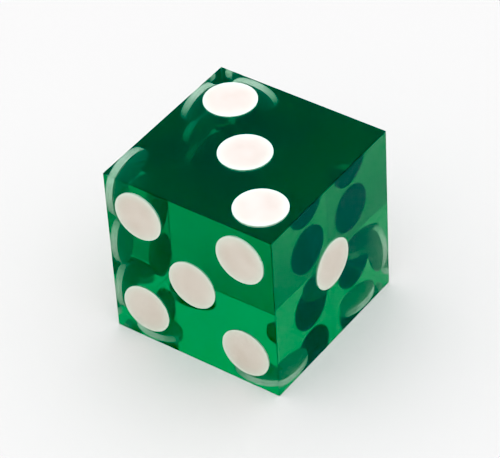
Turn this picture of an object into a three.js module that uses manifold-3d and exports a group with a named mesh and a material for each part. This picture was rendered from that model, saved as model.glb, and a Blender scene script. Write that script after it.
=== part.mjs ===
// A precision casino die: one transparent block with an opaque inlay let flush into it for each pip.
//
// Millimetres, +Z up, origin at the centre of the block. The one looks along +X, the two along +Y
// and the three along +Z, so one, two and three run anticlockwise round the corner they share, and
// opposite faces add up to seven.

import * as THREE from 'three';
import { mergeVertices } from 'three/addons/utils/BufferGeometryUtils.js';
import Module from 'manifold-3d';

// Driving dimensions
const EDGE = 19.05; // face to opposite face, three quarters of an inch
const EDGE_BREAK = 0.1; // chamfer left by polishing on an edge that is otherwise square
const PIP_DIAMETER = 5.33;
const PIP_DEPTH = 0.43; // how deep the flat-bottomed pip holes are drilled, seventeen thousandths of an inch
const PIP_PITCH = 5.8; // from a face's middle to its outer rows of pips
const INLAY_CLEARANCE = 0.02; // between an inlay and its hole, round the side and below
const ROUND_STEPS = 40; // flats round a pip
const CUTTER_OVERRUN = 1; // how far a drilling cutter stands out of its face

// Pip layouts, in pitches from the middle of a face
const MIDDLE = [[0, 0]];
const DIAGONAL = [[-1, 1], [1, -1]];
const CORNERS = [[-1, 1], [1, 1], [-1, -1], [1, -1]];
const SIDES = [[-1, 0], [1, 0]];

const X = new THREE.Vector3(1, 0, 0);
const Y = new THREE.Vector3(0, 1, 0);
const Z = new THREE.Vector3(0, 0, 1);

// Each face's outward direction, and the two directions that its layout is laid out along
const FACES = [
  { name: 'one', outward: X, across: Y, up: Z, layout: MIDDLE },
  { name: 'two', outward: Y, across: X, up: Z, layout: DIAGONAL },
  { name: 'three', outward: Z, across: X, up: Y, layout: [...MIDDLE, ...DIAGONAL] },
  { name: 'four', outward: Z.clone().negate(), across: X, up: Y, layout: CORNERS },
  { name: 'five', outward: Y.clone().negate(), across: X, up: Z, layout: [...MIDDLE, ...CORNERS] },
  { name: 'six', outward: X.clone().negate(), across: Y, up: Z, layout: [...CORNERS, ...SIDES] },
];

const acetate = new THREE.MeshStandardMaterial({
  name: 'green_acetate',
  color: 0x0f7a4c,
  roughness: 0.03,
  metalness: 0,
  transparent: true,
  opacity: 0.7,
  flatShading: true,
});

const inlay = new THREE.MeshStandardMaterial({
  name: 'white_inlay',
  color: 0xf2efe9,
  roughness: 0.25,
  metalness: 0,
});

const wasm = await Module();
wasm.setup();

/** A closed geometry as a solid that can be cut. */
function toSolid(geometry) {
  const bare = geometry.clone();
  bare.deleteAttribute('normal');
  bare.deleteAttribute('uv');
  const merged = mergeVertices(bare);
  const vertProperties = new Float32Array(merged.attributes.position.array);
  const triVerts = new Uint32Array(merged.index.array);
  return new wasm.Manifold(new wasm.Mesh({ numProp: 3, vertProperties, triVerts }));
}

/** A solid as a geometry that can be shown. */
function toGeometry(solid) {
  const mesh = solid.getMesh();
  const geometry = new THREE.BufferGeometry();
  geometry.setAttribute('position', new THREE.BufferAttribute(mesh.vertProperties, 3));
  geometry.setIndex(new THREE.BufferAttribute(mesh.triVerts, 1));
  geometry.computeVertexNormals();
  return geometry;
}

/** A cube about the origin with all twelve edges broken. */
function blockGeometry() {
  const half = EDGE / 2;
  const flat = half - EDGE_BREAK;
  const outline = new THREE.Shape([
    new THREE.Vector2(-flat, -half),
    new THREE.Vector2(flat, -half),
    new THREE.Vector2(half, -flat),
    new THREE.Vector2(half, flat),
    new THREE.Vector2(flat, half),
    new THREE.Vector2(-flat, half),
    new THREE.Vector2(-half, flat),
    new THREE.Vector2(-half, -flat),
  ]);
  const block = new THREE.ExtrudeGeometry(outline, {
    depth: 2 * flat,
    bevelThickness: EDGE_BREAK,
    bevelSize: EDGE_BREAK,
    bevelOffset: -EDGE_BREAK,
    bevelSegments: 1,
  });
  block.translate(0, 0, -flat);
  return block;
}

/** A round bar along Z, between two heights. */
function barGeometry(radius, bottom, top) {
  const bar = new THREE.CylinderGeometry(radius, radius, top - bottom, ROUND_STEPS);
  bar.rotateX(Math.PI / 2);
  bar.translate(0, 0, (top + bottom) / 2);
  return bar;
}

/** Where a pip's middle lies on its face's surface. */
function pipPlace(face, [acrossPitches, upPitches]) {
  return face.outward.clone().multiplyScalar(EDGE / 2)
    .addScaledVector(face.across, acrossPitches * PIP_PITCH)
    .addScaledVector(face.up, upPitches * PIP_PITCH);
}

/** One inlay, its polished end flush with the face. */
function inlayMesh(face, place, number) {
  const depth = PIP_DEPTH - INLAY_CLEARANCE;
  const radius = PIP_DIAMETER / 2;
  const mesh = new THREE.Mesh(barGeometry(radius, -depth, 0), inlay);
  mesh.name = `pip_${face.name}_${number}`;
  mesh.position.copy(pipPlace(face, place));
  mesh.quaternion.setFromUnitVectors(Z, face.outward);
  return mesh;
}

/** The cutter that drills one pip's hole. */
function drill(face, place) {
  const radius = PIP_DIAMETER / 2 + INLAY_CLEARANCE;
  const bar = barGeometry(radius, -PIP_DEPTH, CUTTER_OVERRUN);
  const turn = new THREE.Quaternion().setFromUnitVectors(Z, face.outward);
  bar.applyQuaternion(turn);
  bar.translate(...pipPlace(face, place).toArray());
  return toSolid(bar);
}

/** The block with its twenty-one pip holes. */
function bodyMesh() {
  let solid = toSolid(blockGeometry());
  for (const face of FACES) {
    for (const place of face.layout) {
      solid = solid.subtract(drill(face, place));
    }
  }
  const mesh = new THREE.Mesh(toGeometry(solid), acetate);
  mesh.name = 'die_body';
  return mesh;
}

const die = new THREE.Group();
die.add(bodyMesh());
for (const face of FACES) {
  face.layout.forEach((place, index) => die.add(inlayMesh(face, place, index + 1)));
}

export default die;
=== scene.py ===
import math
from collections import namedtuple
from itertools import product

import bmesh
import bpy
from mathutils import Matrix, Vector, geometry


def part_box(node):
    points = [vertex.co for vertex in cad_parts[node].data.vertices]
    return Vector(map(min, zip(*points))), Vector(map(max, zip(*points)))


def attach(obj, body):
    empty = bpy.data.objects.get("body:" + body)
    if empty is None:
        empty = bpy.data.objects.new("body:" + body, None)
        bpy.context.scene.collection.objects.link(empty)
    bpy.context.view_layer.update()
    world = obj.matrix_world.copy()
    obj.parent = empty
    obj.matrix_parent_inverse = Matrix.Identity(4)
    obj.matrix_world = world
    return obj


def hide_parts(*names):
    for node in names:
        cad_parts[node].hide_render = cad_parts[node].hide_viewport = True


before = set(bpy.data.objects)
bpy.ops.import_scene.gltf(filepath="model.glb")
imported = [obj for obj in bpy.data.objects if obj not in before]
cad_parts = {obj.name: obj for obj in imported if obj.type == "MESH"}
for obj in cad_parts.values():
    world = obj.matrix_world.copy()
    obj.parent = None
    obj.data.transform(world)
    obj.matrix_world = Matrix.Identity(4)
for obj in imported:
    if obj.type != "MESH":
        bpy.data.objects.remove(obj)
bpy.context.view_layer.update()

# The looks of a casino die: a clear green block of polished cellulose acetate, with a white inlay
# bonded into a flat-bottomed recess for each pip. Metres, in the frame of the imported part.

MM = 0.001
BODY_NODE = "die_body"
PIP_PREFIX = "pip_"

# Mesh detail
PIP_SIDES = 96  # flats round a pip
EDGE_ROUNDING = 0.045 * MM  # how far polishing has rounded the block's edges back
EDGE_SEGMENTS = 3
EDGE_PROFILE = 0.5  # a quarter of a circle
BOND = 0.004 * MM  # how far an inlay reaches into the wall of its recess, so no air shows between them
PROUD = 0.002 * MM  # how far an inlay's polished end stands out of the face
RIM_ROUNDING = 0.02 * MM  # rounding of an inlay's polished end
FOOT_ROUNDING = 0.04 * MM  # rounding left by the corner of the drill at the bottom of a recess
ROUNDING_STEPS = 3
TOP_RINGS = (0.4, 0.6, 0.7, 0.8, 0.88, 0.94)  # rings of points on an inlay's end, as parts of its radius
PAINTED_LIGHT_ATTRIBUTE = "rim"  # how far a point of an inlay counts as its rim or its side, and so takes the painted green light, from 0 to 1
PAINTED_LIGHT_FADE = 6  # how closely the rim, and the painted green light on it, keeps to the edge
CUT_TOLERANCE = 1e-6  # in millimetres

# Textures, whose sizes are in millimetres
NOISE_RANGE = (0.3, 0.7)  # nearly all of a noise lies between these
NO_DETAIL = 0  # how many times a finer noise is laid over a noise
SOME_DETAIL = 2
MUCH_DETAIL = 4

# The acetate
ACETATE_IOR = 1.48
CLEAR = (1.0, 1.0, 1.0)  # its surface has no colour of its own
ABSORPTION_DENSITY = 230.0  # per metre
ABSORPTION_COLOUR = (0.37, 0.752, 0.488)  # the part of that density that each colour is spared
RUB_SIZE = 2.5
RUB_RANGE = (0.4, 0.7)  # where a noise becomes a rubbed patch
RUB_ROUGHNESS = 0.03
MARK_TURNS = ((0.9, 0.35, 0.2), (0.5, 1.1, 0.8), (1.3, 0.2, 2.1))  # turns that aim the hairline marks
MARK_WIDTH = 0.07
MARK_LENGTH = 5.0
MARK_RANGE = (0.70, 0.74)  # the highest ridges of a noise, which are the marks
MARK_ROUGHNESS = 0.2
HANDLED_SIZE = 5.0  # size of the patches that have been handled, which alone have marks
HANDLED_RANGE = (0.45, 0.6)
WAVE_SIZE = 1.2  # the faint waves that polishing leaves
ACETATE_RELIEF = 0.00025 * MM

# The inlays
INLAY_DEEP = (0.71, 0.61, 0.50)
INLAY_PALE = (0.77, 0.685, 0.575)
INLAY_PAINTED_GREEN_LIGHT = (0.74, 0.93, 0.76)  # painted light: the green of light that comes through the green block, painted on the side and on the rim of the end
PAINTED_LIGHT_SHARE = 0.6  # how much of its colour the rim takes from that painted green light
CLOUD_SIZE = 2.2
POLISH_SIZE = 0.8
INLAY_ROUGHNESS = (0.22, 0.32)
PORE_SIZE = 0.7
INLAY_RELIEF = 0.0003 * MM

# Camera, as places round the block's middle measured in block edges
CAMERA_PLACE = Vector((6.43, -8.42, 9.10))
CAMERA_ROLL = math.radians(-3.65)
CAMERA_LENS = 200.0  # on a sensor 36 mm wide
SENSOR_WIDTH = 36.0

# Light
LOW_COLOUR = (1.0, 0.965, 0.88)
HIGH_COLOUR = (0.93, 1.0, 1.24)
LOW_LIGHT = 0.47  # brightness of the room low down
HIGH_LIGHT = 2.15  # how much brighter the soft light straight overhead is
LIGHT_GATHERING = 2.5  # how closely that light gathers about the zenith
FAR_FLOOR = 0.94  # brightness of the floor far off, which the room matches at the horizon
HAZE = (0.03, 0.15)  # where that stops and where the room is itself, as sines of the angle up
FLOOR_WIDTH = 3.0
FLOOR_GAP = 0.02 * MM  # the film of air between the block and the table, too thin to see
FLOOR_COLOUR = (0.71, 0.68, 0.6)
FLOOR_ROUGHNESS = 0.6
FLOOR_SPECULAR = 0.2
FILM_BLACK = (0.105, 0.064, 0.056)  # scene light, in red, green and blue, that the picture shows as black

# Most bounces that light makes inside and round the block
MOST_BOUNCES = 24
TRANSMISSION_BOUNCES = 20
GLOSSY_BOUNCES = 12
DIFFUSE_BOUNCES = 6

Pip = namedtuple("Pip", "node centre outward radius depth")

body_low, body_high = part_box(BODY_NODE)
middle = (body_low + body_high) / 2
edge = body_high.x - body_low.x
half = edge / 2


# ---- where things are, from the frame ----


def read_pip(node):
    """A pip's place on its face, worked out from its CAD node's box, which is thinnest across the face."""
    low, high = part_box(node)
    size = high - low
    axis = min(range(3), key=lambda i: size[i])
    outward = Vector((0, 0, 0))
    outward[axis] = math.copysign(1, (low + high)[axis] / 2 - middle[axis])
    centre = (low + high) / 2 + outward * size[axis] / 2
    return Pip(node, centre, outward, max(size) / 2, size[axis])


def face_axes(outward):
    """The two directions that a face is laid out along: across, up and outward are right-handed."""
    across = Vector((outward.z, outward.x, outward.y))
    return across, outward.cross(across)


def face_directions():
    """The outward direction of each of the block's six faces."""
    return [Vector([sign if i == axis else 0 for i in range(3)]) for axis in range(3) for sign in (1, -1)]


def circle(count):
    """Evenly spaced directions round a circle, as pairs of cosine and sine."""
    turns = [2 * math.pi * i / count for i in range(count)]
    return [(math.cos(turn), math.sin(turn)) for turn in turns]


# ---- meshes ----


def add_recess(bm, pip, across, up):
    """The wall and floor of one pip's recess. Returns the ring of points round its mouth."""
    rings = []
    for drop in (0, pip.depth):
        foot = pip.centre - pip.outward * drop
        rings.append([bm.verts.new(foot + (across * c + up * s) * pip.radius) for c, s in circle(PIP_SIDES)])
    mouth, bottom = rings
    for i in range(PIP_SIDES):
        j = (i + 1) % PIP_SIDES
        bm.faces.new((mouth[i], mouth[j], bottom[j], bottom[i])).smooth = True
    bm.faces.new(bottom)
    return mouth


def add_block_face(bm, corners, outward, pips):
    """One flat face of the block, cut round its recesses, with the recesses themselves."""
    across, up = face_axes(outward)
    turns = ((-1, -1), (1, -1), (1, 1), (-1, 1))
    points = [corners[tuple(round(x) for x in outward + across * a + up * b)] for a, b in turns]
    cuts = [(i, (i + 1) % len(turns)) for i in range(len(turns))]
    owners = [None] * len(turns)
    for pip in pips:
        start = len(points)
        points += add_recess(bm, pip, across, up)
        cuts += [(start + i, start + (i + 1) % PIP_SIDES) for i in range(PIP_SIDES)]
        owners += [pip.node] * PIP_SIDES
    flat = [Vector((p.co.dot(across), p.co.dot(up))) / MM for p in points]
    found = geometry.delaunay_2d_cdt(flat, cuts, [], 0, CUT_TOLERANCE)
    triangles, sources = found[2], found[3]
    for triangle in triangles:
        at = [sources[i][0] for i in triangle]
        over = {owners[i] for i in at}
        if len(over) > 1:  # a triangle with all its points on one pip's ring lies over the recess
            bm.faces.new([points[i] for i in at])


def is_block_edge(mesh_edge, corners):
    """Whether a mesh edge runs between two of the block's corners, along one of its twelve edges."""
    if not all(vertex in corners for vertex in mesh_edge.verts):
        return False
    start, end = [vertex.co for vertex in mesh_edge.verts]
    return sum(abs(a - b) > half for a, b in zip(start, end)) == 1


def round_block_edges(bm, corners):
    """Rounds the twelve edges and eight corners of the block by the little that polishing takes off."""
    rounded = bmesh.ops.bevel(
        bm,
        geom=[mesh_edge for mesh_edge in bm.edges if is_block_edge(mesh_edge, corners)],
        offset=EDGE_ROUNDING,
        segments=EDGE_SEGMENTS,
        profile=EDGE_PROFILE,
        affect="EDGES",
    )
    for face in rounded["faces"]:
        face.smooth = True


def block_mesh(pips):
    """The block: six true flat faces, a recess for every pip and edges that are just rounded."""
    bm = bmesh.new()
    corners = {signs: bm.verts.new(middle + Vector(signs) * half) for signs in product((-1, 1), repeat=3)}
    for outward in face_directions():
        add_block_face(bm, corners, outward, [p for p in pips if p.outward == outward])
    bmesh.ops.recalc_face_normals(bm, faces=bm.faces)
    round_block_edges(bm, set(corners.values()))
    mesh = bpy.data.meshes.new("die_block")
    bm.to_mesh(mesh)
    bm.free()
    return mesh


def quarter_round(radius, height, size, upward):
    """Points of a profile, as (radius, height), that round off a corner from the side towards the axis."""
    steps = [math.pi / 2 * i / ROUNDING_STEPS for i in range(ROUNDING_STEPS + 1)]
    turn = 1 if upward else -1
    return [
        (radius - size + size * math.cos(a), height - turn * size + turn * size * math.sin(a)) for a in steps
    ]


def inlay_profile(pip):
    """An inlay's section from the middle of its polished end to the middle of its foot."""
    radius = pip.radius + BOND
    foot = -(pip.depth + BOND)
    top = quarter_round(radius, PROUD, RIM_ROUNDING, True)[::-1]
    inner = [(radius * part, PROUD) for part in TOP_RINGS]
    return inner + top + quarter_round(radius, foot, FOOT_ROUNDING, False)


def inlay_mesh(pip):
    """One inlay: a turned disc, flat at both ends, with its rim and foot rounded."""
    bm = bmesh.new()
    rim = bm.verts.layers.float.new(PAINTED_LIGHT_ATTRIBUTE)
    across, up = face_axes(pip.outward)
    profile = inlay_profile(pip)
    rings = []
    for radius, height in profile:
        level = pip.centre + pip.outward * height
        rings.append([bm.verts.new(level + (across * c + up * s) * radius) for c, s in circle(PIP_SIDES)])
    hub = bm.verts.new(pip.centre + pip.outward * PROUD)
    # The rim values mask the painted green light: 1 on the side, and rising towards the edge of the end.
    for (radius, height), ring in zip(profile[:-1], rings):
        for vertex in ring:
            vertex[rim] = 1 if height < 0 else (radius / pip.radius) ** PAINTED_LIGHT_FADE
    for i in range(PIP_SIDES):
        j = (i + 1) % PIP_SIDES
        bm.faces.new((hub, rings[0][i], rings[0][j]))
        for inner, outer in zip(rings, rings[1:]):
            face = bm.faces.new((inner[i], outer[i], outer[j], inner[j]))
            face.smooth = True
    bm.faces.new(rings[-1][::-1])
    bmesh.ops.recalc_face_normals(bm, faces=bm.faces)
    mesh = bpy.data.meshes.new(pip.node + "_inlay")
    bm.to_mesh(mesh)
    bm.free()
    return mesh


# ---- materials ----


def new_material(name):
    """An empty material with its principled shader. Returns the material, its node tree and the shader."""
    material = bpy.data.materials.new(name)
    material.use_nodes = True
    tree = material.node_tree
    return material, tree, tree.nodes["Principled BSDF"]


def opaque(colour):
    """A colour with the alpha that a colour input wants."""
    return (*colour, 1)


def feed(tree, socket, value):
    """Gives an input its value, or links it from an output."""
    if isinstance(value, bpy.types.NodeSocket):
        tree.links.new(value, socket)
    else:
        socket.default_value = value


def add_node(tree, kind, inputs=None, **settings):
    """A shader node with its settings and inputs."""
    node = tree.nodes.new(kind)
    for name, value in settings.items():
        setattr(node, name, value)
    for name, value in (inputs or {}).items():
        feed(tree, node.inputs[name], value)
    return node


def place_on_object(tree):
    """The point being shaded, in millimetres."""
    coordinates = add_node(tree, "ShaderNodeTexCoord")
    scaled = add_node(
        tree,
        "ShaderNodeVectorMath",
        {0: coordinates.outputs["Object"], "Scale": 1 / MM},
        operation="SCALE",
    )
    return scaled.outputs[0]


def noise(tree, place, size, detail):
    """Soft noise from 0 to 1 whose blobs are about size millimetres across, with finer ones by detail."""
    inputs = {"Vector": place, "Scale": 1 / size, "Detail": detail}
    return add_node(tree, "ShaderNodeTexNoise", inputs).outputs["Fac"]


def spread(tree, value, low, high, to_low, to_high):
    """Maps low..high to to_low..to_high, and holds the ends."""
    inputs = {"Value": value, "From Min": low, "From Max": high, "To Min": to_low, "To Max": to_high}
    return add_node(tree, "ShaderNodeMapRange", inputs).outputs["Result"]


def combine(tree, operation, a, b):
    """One number from two."""
    return add_node(tree, "ShaderNodeMath", {0: a, 1: b}, operation=operation).outputs[0]


def mix_colours(tree, part, start, end):
    """A colour that goes from start to end as part goes from 0 to 1."""
    mix = add_node(tree, "ShaderNodeMix", data_type="RGBA")
    wanted = {"Factor_Float": part, "A_Color": start, "B_Color": end}
    for socket in mix.inputs:
        if socket.identifier in wanted:
            feed(tree, socket, wanted[socket.identifier])
    return next(socket for socket in mix.outputs if socket.identifier == "Result_Color")


def clouds(tree, place, size, start, end):
    """Soft cloudiness from start to end, in patches of about size millimetres."""
    return spread(tree, noise(tree, place, size, SOME_DETAIL), *NOISE_RANGE, start, end)


def marks_along(tree, place, turn):
    """Fine straight marks in one direction: the highest ridges of a noise drawn out along a line."""
    turned = add_node(
        tree, "ShaderNodeVectorRotate", {"Vector": place, "Rotation": turn}, rotation_type="EULER_XYZ"
    )
    scale = (1 / MARK_WIDTH, 1 / MARK_WIDTH, 1 / MARK_LENGTH)
    drawn_out = add_node(
        tree, "ShaderNodeVectorMath", {0: turned.outputs[0], 1: scale}, operation="MULTIPLY"
    )
    return spread(tree, noise(tree, drawn_out.outputs[0], 1, NO_DETAIL), *MARK_RANGE, 0.0, 1.0)


def hairline_marks(tree, place):
    """Marks in several directions, only on the patches that have been handled."""
    handled = spread(tree, noise(tree, place, HANDLED_SIZE, SOME_DETAIL), *HANDLED_RANGE, 0.0, 1.0)
    marks = marks_along(tree, place, MARK_TURNS[0])
    for turn in MARK_TURNS[1:]:
        marks = combine(tree, "MAXIMUM", marks, marks_along(tree, place, turn))
    return combine(tree, "MULTIPLY", marks, handled)


def add_relief(tree, shader, height, depth):
    """Gives a shader's surface a relief of about this depth."""
    bump = add_node(tree, "ShaderNodeBump", {"Height": height, "Distance": depth})
    feed(tree, shader.inputs["Normal"], bump.outputs[0])


def acetate_material():
    """Clear green acetate, coloured by its depth, polished, and faintly rubbed and scratched."""
    material, tree, shader = new_material("green_acetate_clear")
    shader.inputs["Base Color"].default_value = opaque(CLEAR)
    shader.inputs["Transmission Weight"].default_value = 1.0
    shader.inputs["IOR"].default_value = ACETATE_IOR
    place = place_on_object(tree)
    marks = hairline_marks(tree, place)
    rubs = spread(tree, noise(tree, place, RUB_SIZE, MUCH_DETAIL), *RUB_RANGE, 0.0, RUB_ROUGHNESS)
    rough_marks = combine(tree, "MULTIPLY", marks, MARK_ROUGHNESS)
    feed(tree, shader.inputs["Roughness"], combine(tree, "ADD", rubs, rough_marks))
    waves = noise(tree, place, WAVE_SIZE, SOME_DETAIL)
    add_relief(tree, shader, combine(tree, "ADD", waves, marks), ACETATE_RELIEF)
    absorbing = {"Color": opaque(ABSORPTION_COLOUR), "Density": ABSORPTION_DENSITY}
    volume = add_node(tree, "ShaderNodeVolumeAbsorption", absorbing)
    feed(tree, tree.nodes["Material Output"].inputs["Volume"], volume.outputs[0])
    return material


def inlay_material():
    """Warm white inlay, cast a little unevenly, rubbed flush with the face and polished with it, with green
    light painted on its side and the rim of its end.
    """
    material, tree, shader = new_material("white_inlay_polished")
    place = place_on_object(tree)
    cloud = clouds(tree, place, CLOUD_SIZE, 0.0, 1.0)
    cast = mix_colours(tree, cloud, opaque(INLAY_DEEP), opaque(INLAY_PALE))
    # Painted light: green mixed into the side and the rim of the end, for the light that comes through the
    # green block.
    rim = add_node(tree, "ShaderNodeAttribute", attribute_name=PAINTED_LIGHT_ATTRIBUTE).outputs["Fac"]
    painted_light_part = combine(tree, "MULTIPLY", rim, PAINTED_LIGHT_SHARE)
    feed(tree, shader.inputs["Base Color"], mix_colours(tree, painted_light_part, cast, opaque(INLAY_PAINTED_GREEN_LIGHT)))
    feed(tree, shader.inputs["Roughness"], clouds(tree, place, POLISH_SIZE, *INLAY_ROUGHNESS))
    add_relief(tree, shader, noise(tree, place, PORE_SIZE, SOME_DETAIL), INLAY_RELIEF)
    return material


def floor_material():
    """A plain pale tabletop."""
    material, _, shader = new_material("pale_floor")
    shader.inputs["Base Color"].default_value = opaque(FLOOR_COLOUR)
    shader.inputs["Roughness"].default_value = FLOOR_ROUGHNESS
    shader.inputs["Specular IOR Level"].default_value = FLOOR_SPECULAR
    return material


# ---- pieces ----


def add_piece(name, mesh, material):
    """A new object in the part's frame, with one material."""
    mesh.materials.append(material)
    piece = bpy.data.objects.new(name, mesh)
    bpy.context.scene.collection.objects.link(piece)
    return piece


def add_die(pips):
    """The block and its inlays, each in place of its CAD node."""
    block = add_piece("acetate_block", block_mesh(pips), acetate_material())
    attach(block, "root")
    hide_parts(BODY_NODE)
    white = inlay_material()
    for pip in pips:
        inlay = add_piece(pip.node.replace(PIP_PREFIX, "inlay_"), inlay_mesh(pip), white)
        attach(inlay, "root")
        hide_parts(pip.node)


def add_floor():
    """The table that the die stands on."""
    reach = FLOOR_WIDTH / 2
    corners = [(-reach, -reach), (reach, -reach), (reach, reach), (-reach, reach)]
    mesh = bpy.data.meshes.new("floor")
    mesh.from_pydata([(x, y, body_low.z - FLOOR_GAP) for x, y in corners], [], [(0, 1, 2, 3)])
    add_piece("floor", mesh, floor_material())


# ---- light, camera and film ----


def add_light():
    """A pale room, lit by one broad soft light overhead that fades out towards the horizon."""
    world = bpy.data.worlds.new("room")
    world.use_nodes = True
    tree = world.node_tree
    direction = add_node(tree, "ShaderNodeTexCoord")
    split = add_node(tree, "ShaderNodeSeparateXYZ", {0: direction.outputs["Generated"]})
    height = split.outputs["Z"]
    horizon = opaque([FAR_FLOOR] * 3)
    room = opaque(part * LOW_LIGHT for part in LOW_COLOUR)
    clear_of_haze = spread(tree, height, *HAZE, 0.0, 1.0)
    low = tree.nodes["Background"]
    feed(tree, low.inputs["Color"], mix_colours(tree, clear_of_haze, horizon, room))
    gathered = combine(tree, "POWER", combine(tree, "MAXIMUM", height, 0.0), LIGHT_GATHERING)
    overhead = combine(tree, "MULTIPLY", gathered, HIGH_LIGHT)
    high = add_node(tree, "ShaderNodeBackground", {"Color": opaque(HIGH_COLOUR), "Strength": overhead})
    both = add_node(tree, "ShaderNodeAddShader", {0: low.outputs[0], 1: high.outputs[0]})
    feed(tree, tree.nodes["World Output"].inputs["Surface"], both.outputs[0])
    bpy.context.scene.world = world


def add_camera():
    """A long lens aimed at the block's middle, tipped a little to one side."""
    camera = bpy.data.cameras.new("camera")
    camera.sensor_width = SENSOR_WIDTH
    camera.lens = CAMERA_LENS
    camera.clip_start = MM
    place = bpy.data.objects.new("camera", camera)
    aim = (-CAMERA_PLACE).to_track_quat("-Z", "Y").to_matrix().to_4x4()
    roll = Matrix.Rotation(CAMERA_ROLL, 4, "Z")
    place.matrix_world = Matrix.Translation(middle + CAMERA_PLACE * edge) @ aim @ roll
    bpy.context.scene.collection.objects.link(place)
    bpy.context.scene.camera = place


def set_film():
    """Enough bounces for light to get about inside the block, and a contrasty print."""
    scene = bpy.context.scene
    scene.cycles.max_bounces = MOST_BOUNCES
    scene.cycles.transmission_bounces = TRANSMISSION_BOUNCES
    scene.cycles.glossy_bounces = GLOSSY_BOUNCES
    scene.cycles.diffuse_bounces = DIFFUSE_BOUNCES
    scene.cycles.blur_glossy = 0.0
    scene.cycles.sample_clamp_indirect = 0.0
    scene.cycles.denoising_input_passes = "RGB"  # clear plastic has no one colour or normal to go by
    view = scene.view_settings
    view.view_transform = "Standard"
    view.use_curve_mapping = True
    view.curve_mapping.black_level = FILM_BLACK
    view.curve_mapping.update()


all_pips = [read_pip(node) for node in sorted(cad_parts) if node.startswith(PIP_PREFIX)]
add_die(all_pips)
add_floor()
add_light()
add_camera()
set_film()
